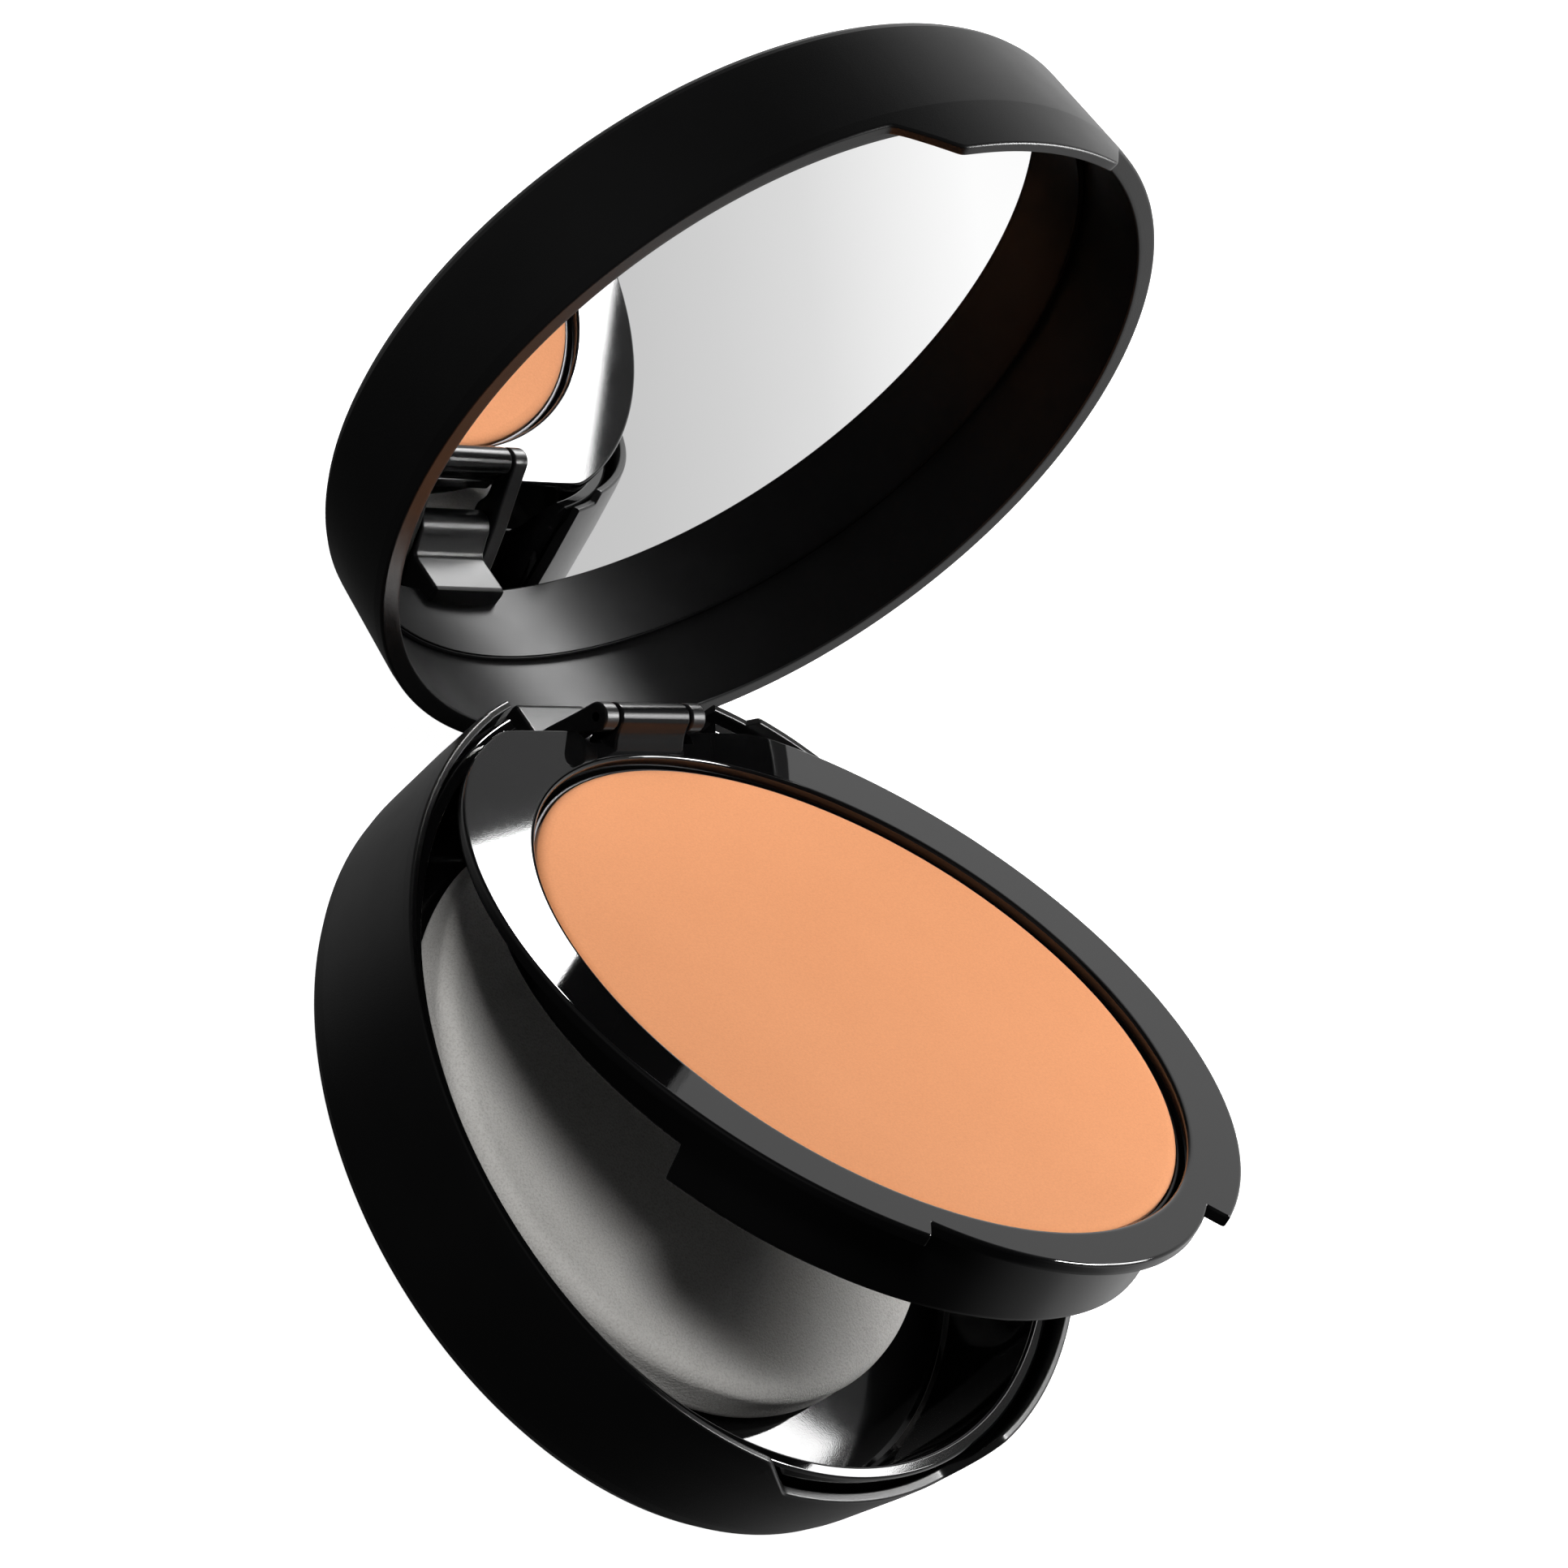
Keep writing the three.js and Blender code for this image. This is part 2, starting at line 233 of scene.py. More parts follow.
def joined(*parts):
    co, faces, off = [], [], 0
    for c, f in parts:
        c = np.asarray(c, float)
        v = 0.0
        for g in f:
            a = c[g[0]]
            for i in range(1, len(g) - 1):
                v += float(np.dot(a, np.cross(c[g[i]], c[g[i + 1]])))
        if v < 0:
            f = [tuple(reversed(g)) for g in f]
        co.append(c)
        faces += [tuple(off + i for i in g) for g in f]
        off += len(c)
    return np.concatenate(co), faces


# ------------------------------------------------------------------ materials


def material(name):
    m = bpy.data.materials.new(name)
    m.use_nodes = True
    nt = m.node_tree
    nt.nodes.clear()
    out = nt.nodes.new("ShaderNodeOutputMaterial")
    bs = nt.nodes.new("ShaderNodeBsdfPrincipled")
    nt.links.new(bs.outputs[0], out.inputs[0])
    tc = nt.nodes.new("ShaderNodeTexCoord")
    return m, nt, bs, tc


def noise(nt, tc, scale, detail=3.0, rough=0.55, kind="ShaderNodeTexNoise", stretch=None):
    n = nt.nodes.new(kind)
    n.inputs["Scale"].default_value = scale
    if "Detail" in n.inputs:
        n.inputs["Detail"].default_value = detail
    if "Roughness" in n.inputs:
        n.inputs["Roughness"].default_value = rough
    if stretch:
        mp = nt.nodes.new("ShaderNodeMapping")
        mp.inputs["Scale"].default_value = stretch
        nt.links.new(tc.outputs["Object"], mp.inputs[0])
        nt.links.new(mp.outputs[0], n.inputs["Vector"])
    else:
        nt.links.new(tc.outputs["Object"], n.inputs["Vector"])
    return n


def out_of(n):
    return n.outputs["Fac"] if "Fac" in n.outputs else n.outputs["Distance"]


def ramp(nt, src, stops):
    r = nt.nodes.new("ShaderNodeValToRGB")
    e = r.color_ramp.elements
    while len(e) < len(stops):
        e.new(0.5)
    for el, (p, c) in zip(e, stops):
        el.position = p
        el.color = (*c, 1) if len(c) == 3 else c
    nt.links.new(src, r.inputs[0])
    return r


def remap(nt, src, lo, hi):
    r = nt.nodes.new("ShaderNodeMapRange")
    r.inputs["To Min"].default_value = lo
    r.inputs["To Max"].default_value = hi
    nt.links.new(src, r.inputs[0])
    return r


def bump(nt, bs, src, strength, distance, prev=None):
    b = nt.nodes.new("ShaderNodeBump")
    b.inputs["Strength"].default_value = strength
    b.inputs["Distance"].default_value = distance
    nt.links.new(src, b.inputs["Height"])
    if prev is not None:
        nt.links.new(prev.outputs[0], b.inputs["Normal"])
    nt.links.new(b.outputs[0], bs.inputs["Normal"])
    return b


def plastic(name, dark, light, rough, grain_scale, grain, spread=0.06, ior=1.49, wave=0.0):
    m, nt, bs, tc = material(name)
    cloud = noise(nt, tc, 90, 4)
    col = ramp(nt, out_of(cloud), [(0.3, dark), (0.7, light)])
    nt.links.new(col.outputs[0], bs.inputs["Base Color"])
    smear = noise(nt, tc, 260, 6, 0.65)
    rr = remap(nt, out_of(smear), rough - spread, rough + spread)
    nt.links.new(rr.outputs[0], bs.inputs["Roughness"])
    bs.inputs["IOR"].default_value = ior
    prev = None
    if wave:
        w = noise(nt, tc, 120, 2)
        prev = bump(nt, bs, out_of(w), wave, 0.0002)
    g = noise(nt, tc, grain_scale, 2)
    bump(nt, bs, out_of(g), grain, 0.00004, prev)
    return m


CASE = plastic("case_black_satin", (0.0022, 0.0022, 0.0023), (0.0036, 0.0036, 0.0038), 0.34, 9000, 0.22, 0.04)
LID_IN = plastic("lid_inside_satin", (0.0022, 0.0022, 0.0023), (0.0036, 0.0036, 0.0038), 0.36, 9000, 0.12, 0.04)
LID_IN.node_tree.nodes["Principled BSDF"].inputs["Specular IOR Level"].default_value = 0.06
INNER = plastic("well_black_gloss", (0.002, 0.002, 0.0021), (0.0034, 0.0034, 0.0036), 0.045, 7000, 0.02, 0.02, wave=0.02)
TRAY_UNDER = plastic("tray_underside_satin", (0.0016, 0.0016, 0.0017), (0.0028, 0.0028, 0.003), 0.22, 9000, 0.06, 0.03)
TRAY_UNDER.node_tree.nodes["Principled BSDF"].inputs["Specular IOR Level"].default_value = 0.2
CASE.node_tree.nodes["Principled BSDF"].inputs["Specular IOR Level"].default_value = 0.38
TRAYM = plastic("tray_black_gloss", (0.002, 0.002, 0.0021), (0.0034, 0.0034, 0.0036), 0.03, 7000, 0.015, 0.015, 1.47, wave=0.012)


def metal(name, col, rough, stretch=(1, 40, 40)):
    m, nt, bs, tc = material(name)
    bs.inputs["Metallic"].default_value = 1.0
    n = noise(nt, tc, 500, 5, 0.6, stretch=stretch)
    c = ramp(nt, out_of(n), [(0.25, tuple(v * 0.82 for v in col)), (0.75, col)])
    nt.links.new(c.outputs[0], bs.inputs["Base Color"])
    nt.links.new(remap(nt, out_of(n), rough * 0.7, rough * 1.3).outputs[0], bs.inputs["Roughness"])
    bump(nt, bs, out_of(n), 0.08, 0.00005)
    return m


STEEL = metal("blackened_steel_wire", (0.055, 0.055, 0.058), 0.3)
# The pan's metal is coloured near black, darker than bare aluminium, as painted shade: its rim gives no bright
# reflection between the powder and the well wall.
TIN = metal("black_lacquered_pan", (0.035, 0.035, 0.037), 0.38, (12, 12, 1))


def mirror_material():
    m, nt, bs, tc = material("silvered_mirror")
    bs.inputs["Metallic"].default_value = 1.0
    n = noise(nt, tc, 40, 3)
    c = ramp(nt, out_of(n), [(0.2, (0.94, 0.94, 0.94)), (0.8, (0.96, 0.96, 0.96))])
    nt.links.new(c.outputs[0], bs.inputs["Base Color"])
    nt.links.new(remap(nt, out_of(noise(nt, tc, 300, 5)), 0.0, 0.022).outputs[0], bs.inputs["Roughness"])
    return m


MIRROR = mirror_material()


def powder_material():
    m, nt, bs, tc = material("pressed_powder")
    broad = noise(nt, tc, 55, 3)
    fine = noise(nt, tc, 5200, 4, 0.7)
    base = ramp(nt, out_of(broad), [(0.25, (0.800, 0.322, 0.132)), (0.75, (0.835, 0.343, 0.145))])
    speck = ramp(nt, out_of(fine), [(0.32, (0.93, 0.90, 0.87)), (0.55, (1.0, 1.0, 1.0)), (0.75, (1.05, 1.05, 1.07))])
    mix = nt.nodes.new("ShaderNodeMix")
    mix.data_type = "RGBA"
    mix.blend_type = "MULTIPLY"
    mix.inputs[0].default_value = 1.0
    nt.links.new(base.outputs[0], mix.inputs[6])
    nt.links.new(speck.outputs[0], mix.inputs[7])
    nt.links.new(mix.outputs[2], bs.inputs["Base Color"])
    nt.links.new(remap(nt, out_of(fine), 0.82, 1.0).outputs[0], bs.inputs["Roughness"])
    bs.inputs["Specular IOR Level"].default_value = 0.22
    bs.inputs["Sheen Weight"].default_value = 0.08
    bs.inputs["Sheen Roughness"].default_value = 0.6
    b1 = bump(nt, bs, out_of(noise(nt, tc, 700, 5, 0.6)), 0.10, 0.00008)
    bump(nt, bs, out_of(fine), 0.20, 0.00004, b1)
    return m


POWDER = powder_material()


def sponge_material():
    m, nt, bs, tc = material("fine_cell_sponge")
    cells = noise(nt, tc, 3600, kind="ShaderNodeTexVoronoi")
    fuzz = noise(nt, tc, 5200, 4, 0.7)
    cloud = noise(nt, tc, 140, 4)
    base = ramp(nt, out_of(cloud), [(0.3, (0.80, 0.782, 0.75)), (0.7, (0.86, 0.842, 0.81))])
    pits = ramp(nt, out_of(fuzz), [(0.30, (0.74, 0.73, 0.72)), (0.55, (1.0, 1.0, 1.0))])
    mix = nt.nodes.new("ShaderNodeMix")
    mix.data_type = "RGBA"
    mix.blend_type = "MULTIPLY"
    mix.inputs[0].default_value = 1.0
    nt.links.new(base.outputs[0], mix.inputs[6])
    nt.links.new(pits.outputs[0], mix.inputs[7])
    nt.links.new(mix.outputs[2], bs.inputs["Base Color"])
    nt.links.new(remap(nt, out_of(cloud), 0.88, 1.0).outputs[0], bs.inputs["Roughness"])
    bs.inputs["Specular IOR Level"].default_value = 0.15
    bs.inputs["Sheen Weight"].default_value = 0.15
    bs.inputs["Sheen Roughness"].default_value = 0.5
    b1 = bump(nt, bs, out_of(cells), 0.35, 0.00010)
    bump(nt, bs, out_of(fuzz), 0.35, 0.00008, b1)
    return m


SPONGE = sponge_material()


def paper(name, a, b):
    m, nt, bs, tc = material(name)
    n = noise(nt, tc, 1800, 6, 0.65)
    nt.links.new(ramp(nt, out_of(n), [(0.3, a), (0.7, b)]).outputs[0], bs.inputs["Base Color"])
    nt.links.new(remap(nt, out_of(n), 0.6, 0.85).outputs[0], bs.inputs["Roughness"])
    bump(nt, bs, out_of(n), 0.15, 0.00004)
    return m


LABEL = paper("blank_label_paper", (0.66, 0.66, 0.65), (0.74, 0.74, 0.73))
TAPE = paper("adhesive_tape", (0.62, 0.60, 0.54), (0.70, 0.68, 0.62))
PAD = paper("foam_tape", (0.68, 0.67, 0.63), (0.78, 0.77, 0.73))

# ------------------------------------------------------------------ base
OUT_TAPER = [(0.0, 34.0), (0.25, 35.0), (0.8, 35.8), (1.7, 36.35), (3.2, 36.7), (10.0, 37.55), (14.6, 38.0), (16.0, 38.0)]
IN_TAPER = [(1.8, 34.6), (2.1, 35.3), (3.0, 35.75), (10.0, 36.6), (12.9, 36.9), (13.3, R_CASE - T_WALL), (16.0, R_CASE - T_WALL)]


def radius(table, z):
    zs, rs = zip(*table)
    return float(np.interp(z, zs, rs))


REAR = math.degrees(math.asin(12.75 / 37.6))
RELIEF = math.degrees(math.asin(16.7 / 37.6))


def slope(p, half, z_low, z_high, r=37.65):
    """0 at the floor half width and 1 at the rim half width of a sloping end, with eased corners."""
    x = abs(r * math.cos(math.radians(p))) if 180 < p < 360 else 99.0
    t = (x - half[0]) / (half[1] - half[0])
    k = 0.06
    t = 0.5 * (t + math.sqrt(t * t + k * k)) if t < 0.5 else 1 - 0.5 * ((1 - t) + math.sqrt((1 - t) ** 2 + k * k))
    return min(max(t, 0.0), 1.0)


def base_top(p):
    z = Z_NOTCH + (H_BASE - Z_NOTCH) * slope(p, NOTCH, Z_NOTCH, H_BASE)
    z = min(z, H_BASE - 1.05 * gate(p, 90 - RELIEF, 90 + RELIEF, 1.2))
    g = gate(p, 90 - REAR, 90 + REAR, 0.8)
    return z + (3.45 - z) * g


def base_profile(p):
    top = base_top(p)
    pts = [(0, 0.55), (22.3, 0.55), (22.36, 0.5), (22.4, 0.06), (22.5, 0.0), (33.4, 0.0), (34.0, 0.02)]
    zs = [0.1, 0.25, 0.5, 0.8, 1.2, 1.7, 2.4]
    pts += [(radius(OUT_TAPER, z), z) for z in zs]
    lo = 3.0
    e = 0.24
    hi = max(top - e, lo + 0.05)
    n = 16
    pts += [(radius(OUT_TAPER, lo + (hi - lo) * i / n), lo + (hi - lo) * i / n) for i in range(n + 1)]
    ro = radius(OUT_TAPER, hi)
    pts += [(ro - e * (1 - math.cos(a)), hi + e * math.sin(a)) for a in (math.radians(d) for d in (25, 50, 72, 90))]
    zi = top - 0.12
    ri = radius(IN_TAPER, max(zi, 3.0))
    pts += [(ri + 0.12, top), (ri + 0.04, top - 0.035), (ri, zi)]
    pts += [(radius(IN_TAPER, max(zi + (2.2 - zi) * i / n, 2.2)), zi + (2.2 - zi) * i / n) for i in range(1, n)]
    pts += [(35.3, 2.1), (35.1, 1.92), (34.6, 1.8), (28, 1.8), (0, 1.8)]
    return pts


N_A = [math.degrees(math.acos(v / 37.65)) for v in NOTCH]
steps_b = (180 + N_A[0], 180 + N_A[1], 360 - N_A[0], 360 - N_A[1], 90 - REAR, 90 + REAR, 90 - RELIEF, 90 + RELIEF)
shell = revolve(base_profile, azimuths(300, *steps_b))


def circle_outline(c, r, a0, a1, n=14):
    return [(c[0] + r * math.cos(math.radians(a0 + (a1 - a0) * i / n)), c[1] + r * math.sin(math.radians(a0 + (a1 - a0) * i / n))) for i in range(n + 1)]


EAR = [(31.4, 1.75), (34.6, 1.75), (34.6, 9.2), (34.5, 12.2), (34.1, 16.2)] + circle_outline(TRAY_PIN, R_KNUCKLE, 0, 180) + [(31.7, 16.9), (32.2, 15.9), (32.2, 14.2), (31.4, 13.2), (31.4, 11.0)]
ears = [slab(rounded(EAR, 0.5, 2), *x, r=0.2) for x in (X_EAR, (-X_EAR[1], -X_EAR[0]))]
make("base_case", *joined(shell, *ears), "base", CASE, ["base_shell"], "case_black", flip_check=False)


def liner_top(p):
    g = gate(p, 90 - REAR - 0.6, 90 + REAR + 0.6, 0.8)
    return Z_RING + (3.35 - Z_RING) * g


LIN_OUT = [(2.1, 34.3), (2.5, 34.95), (3.2, 35.25), (10, 36.05), (13.4, 36.55), (14.4, 36.65)]
LIN_IN = [(3.1, 33.6), (3.9, 34.15), (10, 34.9), (12.6, 35.25), (14.4, 35.4)]


def liner_profile(p):
    top = liner_top(p)
    g = gate(p, 90 - REAR - 0.6, 90 + REAR + 0.6, 0.8)
    squeeze = 1.0 - g * 0.18
    e = 0.28
    n = 12
    lo, hi = 2.3, max(top - e, 2.5)
    pts = [(0, 2.1), (28, 2.1), (34.2 * squeeze, 2.1)]
    pts += [(radius(LIN_OUT, lo + (hi - lo) * i / n) * squeeze, lo + (hi - lo) * i / n) for i in range(n + 1)]
    ro = radius(LIN_OUT, hi) * squeeze
    pts += [(ro - e * (1 - math.cos(a)), hi + e * math.sin(a) * (top - hi) / e) for a in (math.radians(d) for d in (30, 60, 90))]
    ri = radius(LIN_IN, top - e) * squeeze
    pts += [(ri + e * 0.9, top), (ri + e * 0.45, top - e * 0.13), (ri + e * 0.12, top - e * 0.5), (ri, top - e)]
    z1 = top - e
    z0 = 3.9 if top > 5 else 3.2
    if z0 >= z1:
        z0 = z1 - 0.02
    pts += [(radius(LIN_IN, max(z1 + (z0 - z1) * i / n, 3.1)) * squeeze, z1 + (z0 - z1) * i / n) for i in range(1, n + 1)]
    pts += [(33.9 * squeeze, min(z0, 3.4)), (33.5 * squeeze, 3.1), (26, 3.1), (0, 3.1)]
    return pts


lin = revolve(liner_profile, azimuths(280, 90 - REAR - 0.6, 90 + REAR + 0.6))
wall = slab(rounded([(29.2, 2.7), (29.9, 2.7), (29.9, 9.6), (29.2, 9.6)], 0.2, 3), -13.7, 13.7, r=0.2)
sides = [slab(rounded([(29.3, 2.7), (32.2, 2.7), (32.2, 9.6), (29.3, 9.6)], 0.2, 3), *x, r=0.2) for x in ((13.1, 13.7), (-13.7, -13.1))]
make("well_liner", *joined(lin, wall, *sides), "base", INNER, ["base_liner"], "inner_black", flip_check=False)


def pin(name, c, r, x0, x1, node):
    prof = [(0, x0), (r * 0.7, x0), (r * 0.92, x0 + 0.06), (r, x0 + 0.16), (r, x1 - 0.16), (r * 0.92, x1 - 0.06), (r * 0.7, x1), (0, x1)]
    co, faces = revolve(lambda p: prof, [i * 10 for i in range(36)])
    co = np.stack([co[:, 2], c[0] + co[:, 0], c[1] + co[:, 1]], 1)
    make(name, co, faces, "base", STEEL, [node], "steel")


pin("lid_pin_wire", LID_PIN, 0.75, -X_EAR[1], X_EAR[1], "lid_hinge_pin")
pin("tray_pin_wire", TRAY_PIN, 0.6, -X_EAR[1], X_EAR[1], "tray_hinge_pin")

# ------------------------------------------------------------------ applicator sponge


def sponge():
    h0, h1 = Z_SPONGE
    R = R_SPONGE
    prof = [(r, h0) for r in np.linspace(0, R - 1.3, 22)]
    prof += [(R - 1.3 + 1.3 * math.sin(a), h0 + 1.3 * (1 - math.cos(a))) for a in np.linspace(0.15, math.pi / 2, 7)]
    prof += [(R - 0.10 * math.sin(math.pi * t), h0 + 1.3 + (h1 - 1.5 - h0 - 1.3) * t) for t in (0.35, 0.7)]
    prof += [(R - 1.5 + 1.5 * math.cos(a), h1 - 1.5 + 1.5 * math.sin(a)) for a in np.linspace(0.0, math.pi / 2 - 0.05, 9)]
    prof += [(r, h1) for r in np.linspace(R - 1.7, 0, 44)]
    n = 220
    rings = []
    for i in range(n):
        a = 2 * math.pi * i / n
        pts = []
        for r, z in prof:
            t = r / R
            rr = r * (1 + t * t * (0.0016 * math.sin(3 * a + 0.6) + 0.0011 * math.sin(7 * a + 2.1) + 0.0007 * math.sin(13 * a)))
            x, y = rr * math.cos(a), rr * math.sin(a)
            top = max(0.0, (z - h0) / (h1 - h0))
            dz = -0.16 * top * t ** 6
            dz += top * 0.035 * math.sin(x * 0.31 + 1.0) * math.cos(y * 0.27 - 0.4) * (1 - t ** 8)
            dz += top * 0.018 * math.sin(x * 0.83 - y * 0.52 + 0.7) * (1 - t ** 8)
            pts.append((min(1.0, R / max(rr, 1e-9)) * x if rr > R else x, (min(1.0, R / max(rr, 1e-9)) * y if rr > R else y) + Y_SPONGE, min(z + dz, h1)))
        rings.append(np.array(pts))
    rings = [np.vstack([[0, Y_SPONGE, h0], r[1:-1], [0, Y_SPONGE, h1 - 0.03]]) for r in rings]
    return grid_solid(rings, False)


puff = make("sponge_pad", *sponge(), "base", SPONGE, ["applicator_sponge"], "sponge", sharp=60)

# ------------------------------------------------------------------ tray
ZF0 = Z_FLANGE - T_FLANGE


def ray(p, cx, cy, r):
    """Distance from the well centre along azimuth p to a circle."""
    ux, uy = math.cos(math.radians(p)), math.sin(math.radians(p))
    dx, dy = 0 - cx, Y_WELL - cy
    b = ux * dx + uy * dy
    return -b + math.sqrt(max(b * b - dx * dx - dy * dy + r * r, 0))


def own(p):
    """Azimuth about the well centre of the point where the flange rim has azimuth p about the case centre."""
    x, y = R_FLANGE * math.cos(math.radians(p)), R_FLANGE * math.sin(math.radians(p))
    return math.degrees(math.atan2(y - Y_WELL, x)) % 360


N0, N1 = own(239), own(301)
SLOTS = [(90 + s * math.degrees(math.atan2(X_EAR[0] - 0.3, 32.0)) , 90 + s * math.degrees(math.atan2(X_EAR[1] + 0.3, 32.4))) for s in (1, -1)]


def rim(p):
    r = ray(p, 0, 0, R_FLANGE)
    uy = math.sin(math.radians(p))
    if uy > 0.5:
        chord = (33.4 - Y_WELL) / uy
        k = 0.35
        d = r - chord
        r = r - 0.5 * (d + math.sqrt(d * d + k * k)) + 0.02
    g = gate(p, N0, N1, 0.75)
    if g:
        r += (ray(p, 0, -8.5, 27.9) - r) * g
    for a, b in SLOTS:
        lo, hi = min(a, b), max(a, b)
        g = gate(p, lo, hi, 0.5)
        if g:
            r += ((31.8 - Y_WELL) / uy - r) * g
    return r


SK0, SK1 = 203.0, 337.0


def tray_profile(p):
    ro = rim(p)
    zs = Z_CUP - (Z_CUP - Z_SKIRT) * gate(p, SK0, SK1, 0.8)
    ri = R_CUP - 1.1
    pts = [(0, Z_CUP), (20, Z_CUP), (ri - 0.25, Z_CUP), (ri - 0.06, Z_CUP - 0.03)]
    pts += [(ri, Z_CUP + (zs - Z_CUP) * t - 0.06 * (1 - t)) for t in (0.1, 0.5, 0.92)]
    pts += [(ri + 0.08, zs + 0.02), (ri + 0.2, zs - 0.0), (R_CUP - 0.3, zs), (R_CUP - 0.12, zs + 0.05), (R_CUP - 0.02, zs + 0.16), (R_CUP, zs + 0.35)]
    pts += line((R_CUP, zs + 0.35), (R_CUP, ZF0 - 0.25), 6)
    pts += [(R_CUP, ZF0 - 0.25), (R_CUP + 0.07, ZF0 - 0.07), (R_CUP + 0.25, ZF0)]
    e = 0.2
    w = ro - 0.24
    if w < R_CUP + 0.3:
        w = R_CUP + 0.3
        ro = max(ro, w + 0.05)
    pts += line((R_CUP + 0.25, ZF0), (w, ZF0), 5)
    pts += [(w, ZF0), (ro - 0.07, ZF0 + 0.06), (ro, ZF0 + 0.22)]
    pts += [(ro, ZF0 + 0.22 + (T_FLANGE - 0.5) * t) for t in (0.33, 0.66, 1.0)]
    pts += [(ro - 0.28 * (1 - math.cos(a)), Z_FLANGE - 0.28 + 0.28 * math.sin(a)) for a in (math.radians(d) for d in (22, 45, 68, 90))]
    pts += line((ro - 0.28, Z_FLANGE), (R_WELL + 0.45, Z_FLANGE), 6)
    pts += [(R_WELL + 0.45, Z_FLANGE)]
    pts += [(R_WELL + 0.35 * (1 - math.sin(a)), Z_FLANGE - 0.35 * (1 - math.cos(a))) for a in (math.radians(d) for d in (15, 35, 55, 75, 90))]
    pts += line((R_WELL, Z_FLANGE - 0.35), (R_WELL, Z_CUP + 1.2), 5)
    pts += [(R_WELL, Z_CUP + 1.2), (R_WELL - 0.2, Z_CUP + 1.0), (20, Z_CUP + 1.0), (0, Z_CUP + 1.0)]
    return pts


tray_az = azimuths(320, N0, N1, SK0, SK1, *[x for s in SLOTS for x in s], width=1.3)
tray = revolve(tray_profile, tray_az, cy=Y_WELL)
KN = [(30.4, Z_FLANGE - 0.25), (33.3, Z_FLANGE - 0.25), (33.75, 16.9)] + circle_outline(TRAY_PIN, R_KNUCKLE, 0, 180) + [(31.2, 17.0)]
knuckle = slab(rounded(KN, 0.4, 2), -X_KNUCKLE, X_KNUCKLE, r=0.22)
tray_co, tray_faces = joined(tray, knuckle)
tray_ob = make("tray_flange", tray_co, tray_faces, "tray", TRAYM, ["tray_frame"], "tray_black", flip_check=False)
tray_ob.data.materials.append(TRAY_UNDER)
n_ring = len(tray[0])
for f in tray_ob.data.polygons:
    q = tray_co[list(f.vertices)].mean(0)
    if f.vertices[0] >= n_ring or (q[2] < Z_FLANGE - 0.3 and math.hypot(q[0], q[1] - Y_WELL) > R_WELL + 0.2):
        f.material_index = 1

ZP = Z_CUP + 1.6
pan = [(0, ZP), (R_WELL - 0.6, ZP), (R_WELL - 0.3, ZP + 0.08), (R_WELL - 0.2, ZP + 0.3), (R_WELL - 0.2, 14.6), (R_WELL - 0.26, 14.68), (R_WELL - 0.35, 14.7),
       (R_WELL - 0.45, 14.68), (R_WELL - 0.5, 14.6), (R_WELL - 0.5, ZP + 0.5), (R_WELL - 0.6, ZP + 0.35), (R_WELL - 0.8, ZP + 0.3), (0, ZP + 0.3)]
make("pan_dish", *revolve(lambda p: pan, [i * 1.5 for i in range(240)], cy=Y_WELL), "tray", TIN, ["powder_pan"], "pan_metal")


def cake(p):
    R = R_WELL - 0.6
    a = math.radians(p)
    wob = 0.012 * math.sin(5 * a + 0.4) + 0.008 * math.sin(11 * a + 1.9)
    z0, zt = Z_CUP + 2.05, 15.25
    pts = [(0, z0), (R - 0.6, z0), (R - 0.05, z0 + 0.35), (R - 0.05, 14.6)]
    pts += [(R - 0.05, 14.72), (R - 0.05, 14.81)]
    pts += [(R - 0.12, 14.9), (R - 0.26 + wob, 15.01), (R - 0.45 + wob, 15.11), (R - 0.7 + wob, 15.18), (R - 1.0, 15.22)]
    pts += [(r, zt - 0.025 * (r / R) ** 4 - 0.004 * math.sin(r * 0.9 + 2 * a)) for r in np.linspace(R - 1.6, 1.5, 26)]
    pts += [(0, zt)]
    return pts


make("powder_disc", *revolve(cake, [i * 1.5 for i in range(240)], cy=Y_WELL), "tray", POWDER, ["powder_cake"], "powder")

# ------------------------------------------------------------------ lid
ZT, ZM = Z_LID + H_LID, Z_LID + D_MIRROR
Z_LIP = Z_NOTCH + 0.35
LIP = (NOTCH[0] - 0.45, NOTCH[1] - 0.45)
LIP_A = [math.degrees(math.acos(v / 37.65)) for v in LIP]
LID_OUT = [(Z_LID, 38.0), (Z_LID + 1.2, 38.0), (ZT - 2.0, 36.95)]


